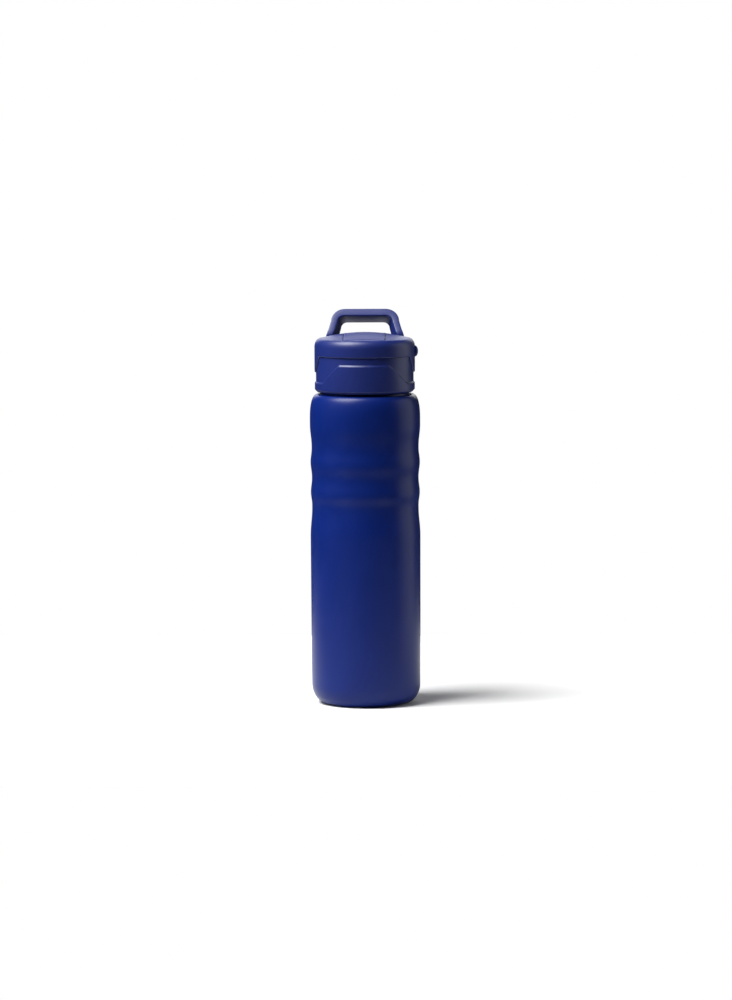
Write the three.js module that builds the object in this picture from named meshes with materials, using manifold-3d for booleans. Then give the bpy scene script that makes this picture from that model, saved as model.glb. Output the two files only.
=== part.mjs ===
// Insulated steel water bottle with a screw lid, a flip cover over the spout and a folding carry handle.
// Millimetres, +Z up, the bottle's front towards -Y; the origin is the middle of the base.
import * as THREE from "three";
import { mergeVertices } from "three/addons/utils/BufferGeometryUtils.js";
import Module from "manifold-3d";

const wasm = await Module();
wasm.setup();

// ---- Driving dimensions ----
const GAP = 0.3; // between pieces that touch on the real bottle
const BODY_R = 36.5;
const BODY_FOOT_R = 36.15; // the straight part tapers slightly towards the foot
const WALL = 1;
const STRAIGHT_TOP = 112;
const CORNER = { width: 9.2, height: 13.2, foot: 0.2 };
// Turning points [z, radius] of the waved grip: valleys and ridges up to the widest part of the shoulder.
const WAVES = [
  [STRAIGHT_TOP, BODY_R], [132, 35.35], [141, 36.2], [150.6, 35.4], [161, 36.3], [170.5, 35.5], [186, 36.6],
];
// The superellipse that closes the wall towards the neck.
const SHOULDER = { height: 20.25, width: 3.6, power: 3.2 };
const NECK = { r: 26.6, bottom: 206.25, top: 224.6 };
const THREAD = { lead: 8, starts: 2, depth: 1.15, width: 1.2, turns: 1.25, z: 209.6 };
const LINER = {
  r: 33.2, wall: 0.8, bottom: 11.5, corner: 9, neckR: 25.3, lipTop: 225.9,
  shoulder: [[0, 12], [1.2, 6]], // how far in from the wall, and down from the shoulder, it starts to close
};
const BASE = { r: 26.5, ringIn: 21.8, ringOut: 25.6, recess: 3, sheet: 1, rim: 0.4 };
const DISC = { r: 20.4, bottom: 1.5, top: 2.5, chamfer: 0.4 };
const PLUG = { hole: 2, r: 1.65, bottom: 2.9, top: 4.4 };
const GETTER = { x: 12, r: 4, height: 2.2, chamfer: 0.6 };

const ROUND = 40; // facets round the bottle's circles
const LID_ROUND = 50; // facets round the lid, so that its edges turn on a facet
const SPOUT_ROUND = 32;
const SMALL_ROUND = 20;
const CORE = {
  bottom: 208.6, deck: 226.4, top: 228, sleeveIn: 28, sleeveOut: 29.4, plugR: 22.6, plugWall: 1.4,
  floor: 217.3, floorThick: 1.3, threadDepth: 0.85, threadTurns: 0.75,
};
const COLLAR = {
  inner: 29.7, spigotR: 30.9, spigotTop: 230.2, flangeR: 24, flangeThick: 1.5, beltR: 32.35, bandR: 33.15,
  footR: 31.9, bottom: 207.8, bandTop: 214.9, panelTop: 227.2, chamfer: 1.5, lugGap: 0.4,
};
const TOP = {
  r: 33.3, inner: 31.2, edge: 231.8, lugBottom: 220.8, shoulderZ: 238.8, facetR: 29.9, facetZ: 243.25,
  crest: 247, sheet: 2.2, cavity: 232.4,
};
// Azimuths, in degrees off the front or back, where the edges of the lid's two rings turn.
const LID_STEP = 360 / LID_ROUND;
const PANEL_AZ = [4 * LID_STEP, 8 * LID_STEP];
const LUG_AZ = [9 * LID_STEP, 11 * LID_STEP];
const GASKET = { r: 24.2, bottom: 219.4, top: 222.6, groove: 0.5, chamfer: 0.7 };

const COVER = {
  halfW: 13.75, front: -27, hingeY: 13, hingeZ: 243.6, barrelR: 2.6, pinR: 1, pinOverhang: 1.2,
  sheet: 2, cornerR: 1.8, ribThick: 1.4, ribFloor: 241.4, ribTop: 243,
  catchThick: 1.6, catchHalfY: 2.5, catchFloor: 240, catchTop: 244.6,
};
const COVER_SPRING = { halfRoom: 5, halfLength: 4.2, wireR: 0.35, coilR: 1.85, turns: 5 };
const POCKET = { floor: 236, under: 233.6, wall: 1.8, frontWall: 1.5, rear: 16.1, rearWall: 1.6 };
const SPOUT = { y: -9, inner: 6, outer: 7.6, top: 241.9, lip: 0.8 };
const VENT = { y: 5, inner: 0.9, outer: 1.8, headR: 3, headTopR: 2.4, top: 237.6 };
const BUTTON = { z: 234.5, r: 3.75, tip: 35.4, seat: 31.5, travel: 2, stemR: 2, stemEnd: 24.4 };
const BUTTON_SPRING = { wireR: 0.3, coilR: 2.75, turns: 3 };
const LATCH = { x0: 16.6, x1: 24, halfY: 4, z0: 233.4, z1: 239.4 };
const HANDLE = {
  y: 16, z: 238.5, lean: THREE.MathUtils.degToRad(33), height: 23.4, bar: 4.2, leg: 3.6, width: 12,
  footHalf: 26.4, footTop: 3.3, kneeHalf: 24.6, knee: 7.6, topHalf: 22.8, cornerR: 8, taper: 0.83,
  eyeR: 4.6, eyeTop: 7, pinR: 1.5, pinIn: 15.2, pinOut: 28.2,
};
const SLOT = { inner: 16.2, outer: 27, front: 10.9, floor: 233.2, frontWall: 2 };

// ---- Materials ----
const material = (color, roughness, metalness) =>
  new THREE.MeshStandardMaterial({ color, roughness, metalness });
const COATED_BLUE = material(0x1f3a86, 0.45, 0.1);
const LID_BLUE = material(0x2b3d84, 0.55, 0);
const STEEL = material(0xb9bcc0, 0.3, 1);
const NAVY = material(0x0c1640, 0.5, 0);
const CLEAR_GREY = material(0x9aa2ad, 0.5, 0);
const SILICONE = material(0x5a6478, 0.7, 0);
const FOAM = material(0xe4e2da, 0.9, 0);

// ---- Solids ----
// A closed geometry, facing outward, as a manifold-3d solid.
function solid(geometry) {
  const bare = geometry.clone().deleteAttribute("normal").deleteAttribute("uv");
  const merged = mergeVertices(bare, 1e-4);
  return new wasm.Manifold(new wasm.Mesh({
    numProp: 3,
    vertProperties: merged.attributes.position.array,
    triVerts: new Uint32Array(merged.index.array),
  }));
}

// A solid of revolution about +Z from [radius, z] points, listed anticlockwise so that it faces outward.
function revolve(points, segments = ROUND, x = 0, y = 0) {
  const profile = points.map(([r, z]) => new THREE.Vector2(r, z));
  return solid(new THREE.LatheGeometry(profile, segments).rotateX(Math.PI / 2).translate(x, y, 0));
}

const disc = (radius, z0, z1, segments = ROUND) =>
  revolve([[0, z0], [radius, z0], [radius, z1], [0, z1]], segments);

function block([x0, y0, z0], [x1, y1, z1]) {
  const box = new THREE.BoxGeometry(x1 - x0, y1 - y0, z1 - z0);
  return solid(box.translate((x0 + x1) / 2, (y0 + y1) / 2, (z0 + z1) / 2));
}

// A cylinder along X between two x positions.
function rodX(radius, x0, x1, y, z, segments = SMALL_ROUND) {
  const rod = new THREE.CylinderGeometry(radius, radius, x1 - x0, segments).rotateZ(Math.PI / 2);
  return solid(rod.translate((x0 + x1) / 2, y, z));
}

// A prism of an outline drawn in x and y, between two heights.
function prism(shape, z0, z1, curveSegments = 6) {
  const made = new THREE.ExtrudeGeometry(shape, { depth: z1 - z0, bevelEnabled: false, curveSegments });
  return solid(made.translate(0, 0, z0));
}

// A solid through a list of rings of points; the ends are flat, or the last ring joins the first.
function loft(rings, closed = false) {
  const count = rings[0].length;
  const positions = rings.flat().flatMap((p) => p.toArray());
  const faces = [];
  const joins = closed ? rings.length : rings.length - 1;
  for (let i = 0; i < joins; i++) {
    for (let j = 0; j < count; j++) {
      const a = i * count + j;
      const b = i * count + ((j + 1) % count);
      const c = ((i + 1) % rings.length) * count + j;
      const d = ((i + 1) % rings.length) * count + ((j + 1) % count);
      faces.push(a, b, d, a, d, c);
    }
  }
  if (!closed) {
    const last = (rings.length - 1) * count;
    for (let j = 1; j < count - 1; j++) {
      faces.push(0, j + 1, j, last, last + j, last + j + 1);
    }
  }
  const geometry = new THREE.BufferGeometry();
  geometry.setAttribute("position", new THREE.Float32BufferAttribute(positions, 3));
  geometry.setIndex(faces);
  return solid(geometry);
}

// Evenly spaced shares from 0 to 1.
const shares = (steps) => Array.from({ length: steps + 1 }, (_, i) => i / steps);
const union = (first, ...others) => others.reduce((sum, other) => sum.add(other), first);
const cut = (first, ...others) => others.reduce((rest, other) => rest.subtract(other), first);

// ---- Bottle wall ----
// Radius of the outer wall at a height of the grip: a cosine between neighbouring turning points.
function waveRadius(z) {
  const next = Math.max(1, WAVES.findIndex(([height]) => height >= z));
  const [z0, r0] = WAVES[next - 1];
  const [z1, r1] = WAVES[next];
  return r0 + (r1 - r0) * (1 - Math.cos((Math.PI * (z - z0)) / (z1 - z0))) / 2;
}

// The outer wall's outline from the foot to the neck's ledge, offset inward by a wall thickness.
function wallOutline(inset, stepsPerWave, cornerSteps, crownShares) {
  const points = [];
  for (let i = 0; i <= cornerSteps; i++) {
    const a = (i / cornerSteps) * (Math.PI / 2);
    const width = CORNER.width - inset;
    const height = CORNER.height - inset;
    const floor = CORNER.foot + inset;
    points.push([BODY_FOOT_R - CORNER.width + width * Math.sin(a), floor + height * (1 - Math.cos(a))]);
  }
  for (let i = 1; i < WAVES.length; i++) {
    for (let j = i === 1 ? 0 : 1; j <= stepsPerWave; j++) {
      const z = WAVES[i - 1][0] + ((WAVES[i][0] - WAVES[i - 1][0]) * j) / stepsPerWave;
      points.push([waveRadius(z) - inset, z]);
    }
  }
  const crown = WAVES.at(-1);
  for (const share of crownShares) {
    const drop = SHOULDER.width * (1 - (1 - share ** SHOULDER.power) ** (1 / SHOULDER.power));
    points.push([crown[1] - inset - drop, crown[0] + (SHOULDER.height - inset) * share]);
  }
  return points;
}

// Screw ridges on a cylinder: `side` is +1 outside a neck and -1 inside a sleeve.
function threadRidges(radius, side, depth, z, turns) {
  const stepsPerTurn = ROUND;
  const phase = (0.3 * 2 * Math.PI) / ROUND; // keeps the ridges' corners off the corners of the wall's facets
  const root = -0.25; // sunk into the wall
  const section = [[root, -0.9], [depth, -0.35], [depth, 0.35], [root, 0.9]];
  const ridges = [];
  for (let start = 0; start < THREAD.starts; start++) {
    const rings = [];
    for (let i = 0; i <= stepsPerTurn * turns; i++) {
      const a = phase + (i / stepsPerTurn + start / THREAD.starts) * 2 * Math.PI;
      const height = z + (i / stepsPerTurn) * THREAD.lead;
      const ring = section.map(([out, up]) => {
        const r = radius + side * out;
        return new THREE.Vector3(r * Math.cos(a), r * Math.sin(a), height + up * THREAD.width);
      });
      rings.push(side > 0 ? ring.reverse() : ring);
    }
    ridges.push(loft(rings));
  }
  return ridges;
}

function outerShell() {
  const outside = wallOutline(0, 2, 5, [0.45, 0.7, 0.88, 0.97, 1]);
  const inside = wallOutline(WALL, 1, 3, [0.6, 0.9, 1]).reverse();
  const neckIn = NECK.r - 0.6 * WALL;
  const body = revolve([
    ...outside,
    [NECK.r, NECK.bottom], [NECK.r, NECK.top], [neckIn, NECK.top], [neckIn, NECK.bottom - WALL],
    ...inside,
    outside[0],
  ]);
  return union(body, ...threadRidges(NECK.r, 1, THREAD.depth, THREAD.z, THREAD.turns));
}

function innerLiner() {
  const { r, wall, bottom, corner, neckR, lipTop } = LINER;
  const shoulder = NECK.bottom - WALL - GAP; // top of the room under the outer wall's shoulder
  const cornerSteps = 3;
  const outline = (inset) => {
    const points = [[0, bottom + inset]];
    for (let i = 0; i <= cornerSteps; i++) {
      const a = (i / cornerSteps) * (Math.PI / 2);
      const size = corner - inset;
      points.push([r - corner + size * Math.sin(a), bottom + inset + size * (1 - Math.cos(a))]);
    }
    LINER.shoulder.forEach(([inward, down]) => points.push([r - inward - inset, shoulder - down]));
    points.push([neckR + 3 - inset, shoulder - 2.2 - inset]);
    return points;
  };
  const lip = 0.4;
  return revolve([
    ...outline(0),
    [neckR, shoulder - 0.2], [neckR, NECK.top + GAP], [NECK.r, NECK.top + GAP], [NECK.r, lipTop - lip],
    [NECK.r - lip, lipTop], [neckR - wall, lipTop], [neckR - wall, shoulder - 0.6],
    ...outline(wall).reverse(),
  ]);
}

function baseCup() {
  const { r, ringIn, ringOut, recess, sheet, rim } = BASE;
  const top = recess + sheet;
  return revolve([
    [PLUG.hole, recess], [ringIn - 0.9, recess], [ringIn, 0], [ringOut, 0], [r, 0.9], [r, recess + rim],
    [r - sheet, recess + rim], [r - sheet, sheet + rim], [ringIn + 0.8, sheet + rim],
    [ringIn - 0.2, top], [PLUG.hole, top], [PLUG.hole, recess],
  ]);
}

function vacuumPlug() {
  const { r, bottom, top } = PLUG;
  const profile = [[0, bottom], [r - 0.35, bottom + 0.1], [r, bottom + 0.4], [r, top - 0.2], [0, top]];
  return revolve(profile, SMALL_ROUND);
}

function baseDisc() {
  const { r, bottom, top, chamfer } = DISC;
  return revolve([[0, bottom], [r - chamfer, bottom], [r, bottom + chamfer], [r, top], [0, top]]);
}

function getterPellet() {
  const { x, r, height, chamfer } = GETTER;
  const floor = BASE.recess + BASE.sheet + GAP;
  const top = floor + height;
  const profile = [[0, floor], [r, floor], [r, top - chamfer], [r - chamfer, top], [0, top]];
  return revolve(profile, SMALL_ROUND, x, 0);
}

// ---- Lid ----
// Height of an edge that is level at `near` round the front and back and at `far` round the sides.
function edgeHeight(azimuth, [from, to], near, far) {
  const folded = azimuth % 180;
  const off = Math.min(folded, 180 - folded);
  return THREE.MathUtils.mapLinear(THREE.MathUtils.clamp(off, from, to), from, to, near, far);
}
const panelEdge = (azimuth) => edgeHeight(azimuth, PANEL_AZ, COLLAR.panelTop, COLLAR.bandTop);
const lugEdge = (azimuth) => edgeHeight(azimuth, LUG_AZ, TOP.edge, TOP.lugBottom);

// A ring about +Z whose cross-section, a list of [radius, z], changes with the azimuth off the front.
function ring(section) {
  const stations = Array.from({ length: LID_ROUND }, (_, i) => i * LID_STEP);
  const sectionAt = (azimuth) => {
    const a = THREE.MathUtils.degToRad(azimuth);
    const point = ([r, z]) => new THREE.Vector3(r * Math.sin(a), -r * Math.cos(a), z);
    return section(azimuth).reverse().map(point);
  };
  return loft(stations.map(sectionAt), true);
}

function capCollar() {
  const { inner, spigotR, spigotTop, flangeR, flangeThick } = COLLAR;
  const { beltR, bandR, footR, bottom, chamfer, lugGap } = COLLAR;
  const belt = ring((azimuth) => {
    const top = lugEdge(azimuth) - lugGap;
    return [[inner, bottom + 0.4], [beltR, bottom + 2], [beltR, top], [inner, top]];
  });
  const band = ring((azimuth) => {
    const top = panelEdge(azimuth);
    return [[inner, bottom], [footR, bottom], [bandR, bottom + chamfer], [bandR, top - chamfer / 2],
      [beltR - 0.1, top], [inner, top]];
  });
  const tube = (r0, r1, z0, z1) => revolve([[r0, z0], [r1, z0], [r1, z1], [r0, z1], [r0, z0]], LID_ROUND);
  const spigot = tube(inner, spigotR, bottom + 1, spigotTop);
  const flange = tube(flangeR, inner + 0.2, CORE.top + GAP, CORE.top + GAP + flangeThick);
  return union(belt, band, spigot, flange);
}

function boreFor(channel, z0, z1) {
  const r = channel.outer + GAP;
  return revolve([[0, z0], [r, z0], [r, z1], [0, z1]], SMALL_ROUND, 0, channel.y);
}

function capCore() {
  const { bottom, deck, top, sleeveIn, sleeveOut, plugR, plugWall, floor, floorThick } = CORE;
  const body = revolve([
    [0, floor], [plugR - 0.8, floor], [plugR, floor + 0.8], [plugR, deck], [sleeveIn, deck],
    [sleeveIn, bottom], [sleeveOut, bottom], [sleeveOut, top], [plugR - plugWall, top],
    [plugR - plugWall, floor + floorThick],
    [0, floor + floorThick],
  ]);
  // The core's ridges lie halfway between those of the neck.
  const z = THREAD.z + THREAD.lead / (2 * THREAD.starts);
  const screwed = union(body, ...threadRidges(sleeveIn, -1, CORE.threadDepth, z, CORE.threadTurns));
  return cut(screwed, boreFor(SPOUT, floor - 1, deck), boreFor(VENT, floor - 1, deck));
}

// Two sealing lips round the plug.
function capGasket() {
  const { r, bottom, top, groove, chamfer } = GASKET;
  const inner = CORE.plugR + GAP;
  const lip = (top - bottom) / 4;
  return revolve([
    [inner, bottom], [r - chamfer, bottom], [r, bottom + lip], [r - groove, bottom + 2 * lip], [r, top - lip],
    [r - chamfer, top], [inner, top], [inner, bottom],
  ]);
}

function capFoam() {
  const floor = CORE.floor + CORE.floorThick + GAP;
  const foam = disc(CORE.plugR - CORE.plugWall - GAP, floor, CORE.top - 2 * GAP);
  return cut(foam, boreFor(SPOUT, floor - 1, CORE.top), boreFor(VENT, floor - 1, CORE.top));
}

// The crown of the lid: a shallow dome, a crease, and a rounded shoulder down to the wall.
function crownOutline(inset, shoulderSteps = 4, domeSteps = 4) {
  const { r, shoulderZ, facetR, facetZ, crest } = TOP;
  const shoulder = shares(shoulderSteps).map((share) => {
    const a = share * (Math.PI / 2);
    const z = shoulderZ + (facetZ - shoulderZ) * Math.sin(a);
    return [facetR + (r - facetR) * Math.cos(a) - inset, z - inset];
  });
  const dome = shares(domeSteps).slice(1).map((share) => {
    const out = 1 - share;
    return [facetR * out - inset * out, crest - (crest - facetZ) * out ** 2 - inset];
  });
  return [...shoulder, ...dome];
}

// The outline of the flip cover seen from above, grown by a margin.
function coverShape(margin) {
  const half = COVER.halfW + margin;
  const front = COVER.front - margin;
  const rear = margin ? POCKET.rear : COVER.hingeY;
  const r = COVER.cornerR;
  const shape = new THREE.Shape();
  shape.moveTo(half, rear);
  shape.lineTo(-half, rear);
  shape.lineTo(-half, front + r);
  shape.absarc(-half + r, front + r, r, Math.PI, 1.5 * Math.PI);
  shape.absarc(half - r, front + r, r, 1.5 * Math.PI, 2 * Math.PI);
  shape.closePath();
  return shape;
}

function crownSolid(inset, floor, shoulderSteps = 4, domeSteps = 5) {
  const outline = crownOutline(inset, shoulderSteps, domeSteps);
  return revolve([[0, floor], [TOP.r - inset, floor], ...outline], LID_ROUND);
}

const mirrored = (make) => [make(1), make(-1)];

// A block on the +X side, or its mirror image on the -X side.
function blockAt(side, [x0, y0, z0], [x1, y1, z1]) {
  const [left, right] = side > 0 ? [x0, x1] : [-x1, -x0];
  return block([left, y0, z0], [right, y1, z1]);
}

// A rod between two distances from the middle, on the +X or the -X side.
function rodAt(side, radius, near, far, y, z) {
  const [left, right] = side > 0 ? [near, far] : [-far, -near];
  return rodX(radius, left, right, y, z);
}

function capTop() {
  const { inner, cavity, sheet, crest, edge } = TOP;
  const pocketHalf = COVER.halfW + GAP;
  const crown = crownSolid(0, cavity);
  const hollow = crownSolid(sheet, cavity - 1, 2, 2).intersect(disc(inner, cavity - 1, crest, LID_ROUND));
  const skirt = ring((azimuth) => {
    const bottom = lugEdge(azimuth);
    return [[inner, bottom], [TOP.r, bottom], [TOP.r, edge + 3], [inner, edge + 3]];
  });
  const pocketWalls = block(
    [-pocketHalf - POCKET.wall, COVER.front - POCKET.frontWall, POCKET.under],
    [pocketHalf + POCKET.wall, POCKET.rear + POCKET.rearWall, crest],
  );
  const handleBosses = mirrored((side) =>
    blockAt(side, [COVER.halfW, SLOT.front - SLOT.frontWall, cavity], [TOP.r, TOP.r, crest]));
  const solidParts = union(pocketWalls, ...handleBosses).intersect(crown);
  const shell = union(cut(crown, hollow), skirt, solidParts);
  const slots = mirrored((side) =>
    blockAt(side, [SLOT.inner, SLOT.front, SLOT.floor], [SLOT.outer, TOP.r + 2, crest + 1]));
  const pinBores = mirrored((side) =>
    rodAt(side, HANDLE.pinR + GAP, HANDLE.pinIn - GAP, HANDLE.pinOut + GAP, HANDLE.y, HANDLE.z));
  const pinHalf = COVER.halfW + COVER.pinOverhang + 0.4;
  return cut(
    shell,
    prism(coverShape(GAP), POCKET.floor, crest + 1),
    boreFor(SPOUT, POCKET.under - 1, POCKET.floor + 1),
    boreFor(VENT, POCKET.under - 1, POCKET.floor + 1),
    rodX(COVER.pinR + GAP, -pinHalf, pinHalf, COVER.hingeY, COVER.hingeZ),
    rodX(BUTTON.r + GAP, inner - 1, TOP.r + 2, 0, BUTTON.z),
    block([COVER.halfW - 1, -LATCH.halfY - GAP, LATCH.z0 - GAP], [inner, LATCH.halfY + GAP, LATCH.z1 + GAP]),
    ...slots,
    ...pinBores,
  );
}

// ---- Spout, flip cover and its latch ----
function drinkSpout() {
  const { inner, outer, top, lip, y } = SPOUT;
  return revolve([
    [inner, CORE.floor], [outer, CORE.floor], [outer, top - 1], [outer - lip, top], [inner, top],
    [inner, CORE.floor],
  ], SPOUT_ROUND, 0, y);
}

function ventValve() {
  const { inner, outer, headR, headTopR, top, y } = VENT;
  const head = POCKET.floor + GAP;
  return revolve([
    [inner, CORE.floor], [outer, CORE.floor], [outer, head], [headR, head], [headTopR, top], [inner, top],
    [inner, CORE.floor],
  ], SMALL_ROUND, 0, y);
}

function flipCover() {
  const { halfW, front, hingeY, hingeZ, barrelR, pinR, sheet, ribThick, ribFloor, ribTop } = COVER;
  const { catchThick, catchHalfY, catchFloor, catchTop } = COVER;
  const barrelRound = 28;
  const dome = cut(crownSolid(0, catchFloor), crownSolid(sheet, POCKET.floor));
  const outline = prism(coverShape(0), POCKET.floor, TOP.crest + 1);
  const panel = dome.intersect(outline);
  const barrel = rodX(barrelR, -halfW, halfW, hingeY, hingeZ, barrelRound);
  const rib = block([-halfW, front, ribFloor], [halfW, front + ribThick, ribTop]).intersect(outline);
  const catchRib = block([halfW - catchThick, -catchHalfY, catchFloor], [halfW, catchHalfY, catchTop]);
  return cut(
    union(panel, barrel, rib, catchRib),
    rodX(pinR + GAP, -halfW - 1, halfW + 1, hingeY, hingeZ),
    rodX(barrelR + GAP, -COVER_SPRING.halfRoom, COVER_SPRING.halfRoom, hingeY, hingeZ, barrelRound),
  );
}

// A pad over the spout's lip, with a plug that reaches into its bore.
function spoutSeal() {
  const { inner, outer, top, y } = SPOUT;
  const thick = 1.6;
  const padR = outer + 0.6;
  return revolve([
    [0, top - thick], [inner - 0.9, top - thick], [inner - GAP, top + GAP], [padR, top + GAP],
    [padR, top + thick - 0.2], [outer, top + thick], [0, top + thick],
  ], SPOUT_ROUND, 0, y);
}

function coverPin() {
  const half = COVER.halfW + COVER.pinOverhang;
  return rodX(COVER.pinR, -half, half, COVER.hingeY, COVER.hingeZ);
}

// A coil of round wire along X about a line through (y, z).
function coilX({ coilR, wireR, turns }, x0, x1, y, z) {
  const stepsPerTurn = 9;
  const sides = 5;
  const count = stepsPerTurn * turns;
  const rings = [];
  for (let i = 0; i <= count; i++) {
    const a = (i / stepsPerTurn) * 2 * Math.PI;
    const x = x0 + ((x1 - x0) * i) / count;
    rings.push(Array.from({ length: sides }, (_, j) => {
      const b = (j / sides) * 2 * Math.PI;
      const r = coilR + wireR * Math.cos(b);
      return new THREE.Vector3(x - wireR * Math.sin(b), y + r * Math.cos(a), z + r * Math.sin(a));
    }));
  }
  return loft(rings);
}

const coverSpring = () =>
  coilX(COVER_SPRING, -COVER_SPRING.halfLength, COVER_SPRING.halfLength, COVER.hingeY, COVER.hingeZ);

function sideButton() {
  const { r, z, tip, seat, stemR, stemEnd } = BUTTON;
  const crowned = [[0, tip], [r * 0.45, tip - 0.25], [r * 0.8, tip - 0.9], [r, tip - 2]];
  const stem = [[r, seat], [stemR, seat], [stemR, stemEnd], [0, stemEnd]];
  const profile = [...crowned, ...stem].reverse().map(([radius, along]) => new THREE.Vector2(radius, along));
  return solid(new THREE.LatheGeometry(profile, SMALL_ROUND).rotateZ(-Math.PI / 2).translate(0, 0, z));
}

// The slider behind the button, level with the cover's catch.
const latchSlider = () => block([LATCH.x0, -LATCH.halfY, LATCH.z0], [LATCH.x1, LATCH.halfY, LATCH.z1]);

// The spring round the button's stem, as long as the room left when the button is pressed.
function buttonSpring() {
  const end = BUTTON.seat - BUTTON.travel - BUTTON_SPRING.wireR - GAP;
  return coilX(BUTTON_SPRING, LATCH.x1 + 1, end, 0, BUTTON.z);
}

// ---- Carry handle ----
// Half of the loop's outline from foot to top, as [half-width, distance from the pivot], inset by the strap.
function loopOutline(legInset, barInset) {
  const { footHalf, footTop, kneeHalf, knee, topHalf, height, cornerR } = HANDLE;
  const r = cornerR - Math.min(legInset, barInset);
  const top = height - barInset;
  const side = [[footHalf, 0], [footHalf, footTop], [kneeHalf, knee], [topHalf, height - cornerR]];
  const half = side.map(([x, u]) => [x - legInset, u]);
  for (const share of [1 / 3, 2 / 3, 1]) {
    const a = share * (Math.PI / 2);
    half.push([topHalf - legInset - r + r * Math.cos(a), top - r + r * Math.sin(a)]);
  }
  return half;
}

function loopShape() {
  const outer = loopOutline(0, 0);
  const inner = loopOutline(HANDLE.leg, HANDLE.bar);
  const foot = -HANDLE.eyeR;
  const mirror = (half) => [...half].reverse().map(([x, u]) => [-x, u]);
  const outline = [
    [outer[0][0], foot], ...outer, ...mirror(outer), [-outer[0][0], foot],
    [-inner[0][0], foot], ...mirror(inner).reverse(), ...[...inner].reverse(), [inner[0][0], foot],
  ];
  return new THREE.Shape(outline.map(([x, u]) => new THREE.Vector2(x, u)));
}

// Seen from the side, each leg narrows to a round eye at its pivot.
function legSilhouette() {
  const { width, eyeR, eyeTop, height, footHalf } = HANDLE;
  const side = new THREE.Shape();
  side.moveTo(width / 2, height + 1);
  side.lineTo(width / 2, eyeTop);
  side.absarc(0, 0, eyeR, Math.PI * 0.1, -Math.PI * 1.1, true);
  side.lineTo(-width / 2, eyeTop);
  side.lineTo(-width / 2, height + 1);
  side.closePath();
  const half = footHalf + 1;
  const made = new THREE.ExtrudeGeometry(side, { depth: 2 * half, bevelEnabled: false, curveSegments: 16 });
  return solid(made.translate(0, 0, -half).rotateY(-Math.PI / 2));
}

function carryHandle() {
  const { width, taper, pinR, lean, y, z, footHalf } = HANDLE;
  const strap = new THREE.ExtrudeGeometry(loopShape(), { depth: width, bevelEnabled: false });
  strap.translate(0, 0, -width / 2);
  // The loop is narrower at its rear edge than at its front edge.
  const at = strap.attributes.position;
  for (let i = 0; i < at.count; i++) {
    const share = at.getZ(i) / width + 0.5;
    at.setX(i, at.getX(i) * THREE.MathUtils.lerp(taper, 1, share));
  }
  const bore = rodX(pinR + GAP, -footHalf - 1, footHalf + 1, 0, 0);
  const upright = cut(solid(strap).intersect(legSilhouette()), bore);
  const tilt = THREE.MathUtils.radToDeg(Math.PI / 2 - lean);
  return upright.rotate([tilt, 0, 0]).translate([0, y, z]);
}

const handlePin = (side) => rodAt(side, HANDLE.pinR, HANDLE.pinIn, HANDLE.pinOut, HANDLE.y, HANDLE.z);

// ---- Nodes ----
const part = new THREE.Group();
function addNode(name, made, look) {
  const { vertProperties, triVerts } = made.getMesh();
  const geometry = new THREE.BufferGeometry();
  geometry.setAttribute("position", new THREE.Float32BufferAttribute(vertProperties, 3));
  geometry.setIndex(new THREE.Uint32BufferAttribute(triVerts, 1));
  const mesh = new THREE.Mesh(geometry, look);
  mesh.name = name;
  part.add(mesh);
}

addNode("outer_shell", outerShell(), COATED_BLUE);
addNode("inner_liner", innerLiner(), STEEL);
addNode("base_cup", baseCup(), COATED_BLUE);
addNode("vacuum_plug", vacuumPlug(), STEEL);
addNode("base_disc", baseDisc(), STEEL);
addNode("getter_pellet", getterPellet(), STEEL);
addNode("cap_collar", capCollar(), LID_BLUE);
addNode("cap_core", capCore(), NAVY);
addNode("cap_gasket", capGasket(), SILICONE);
addNode("cap_foam", capFoam(), FOAM);
addNode("cap_top", capTop(), LID_BLUE);
addNode("drink_spout", drinkSpout(), CLEAR_GREY);
addNode("vent_valve", ventValve(), SILICONE);
addNode("flip_cover", flipCover(), LID_BLUE);
addNode("spout_seal", spoutSeal(), SILICONE);
addNode("cover_pin", coverPin(), STEEL);
addNode("cover_spring", coverSpring(), STEEL);
addNode("latch_slider", latchSlider(), NAVY);
addNode("side_button", sideButton(), NAVY);
addNode("button_spring", buttonSpring(), STEEL);
addNode("carry_handle", carryHandle(), LID_BLUE);
addNode("handle_pin_right", handlePin(1), STEEL);
addNode("handle_pin_left", handlePin(-1), STEEL);

export default part;
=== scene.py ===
"""Looks of an insulated steel water bottle: powder-coated body, moulded lid, flip cover and carry loop."""
import math

import bmesh
import bpy
from mathutils import Matrix, Vector

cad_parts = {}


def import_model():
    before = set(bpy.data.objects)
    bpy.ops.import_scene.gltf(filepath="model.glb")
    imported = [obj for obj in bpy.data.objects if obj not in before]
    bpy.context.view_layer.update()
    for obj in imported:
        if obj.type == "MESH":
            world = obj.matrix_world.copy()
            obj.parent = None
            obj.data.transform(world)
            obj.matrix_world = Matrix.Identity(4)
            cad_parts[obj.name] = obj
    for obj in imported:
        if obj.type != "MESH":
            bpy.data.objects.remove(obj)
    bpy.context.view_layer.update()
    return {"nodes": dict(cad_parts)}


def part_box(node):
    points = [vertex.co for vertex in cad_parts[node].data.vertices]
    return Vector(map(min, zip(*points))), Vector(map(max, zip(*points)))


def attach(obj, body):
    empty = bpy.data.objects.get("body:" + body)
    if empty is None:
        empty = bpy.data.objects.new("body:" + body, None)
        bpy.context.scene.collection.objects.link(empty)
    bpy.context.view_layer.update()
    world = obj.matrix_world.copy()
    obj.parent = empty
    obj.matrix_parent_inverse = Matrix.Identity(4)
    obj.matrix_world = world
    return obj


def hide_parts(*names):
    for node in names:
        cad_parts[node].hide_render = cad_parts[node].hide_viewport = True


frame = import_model()

MM = 0.001


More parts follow.
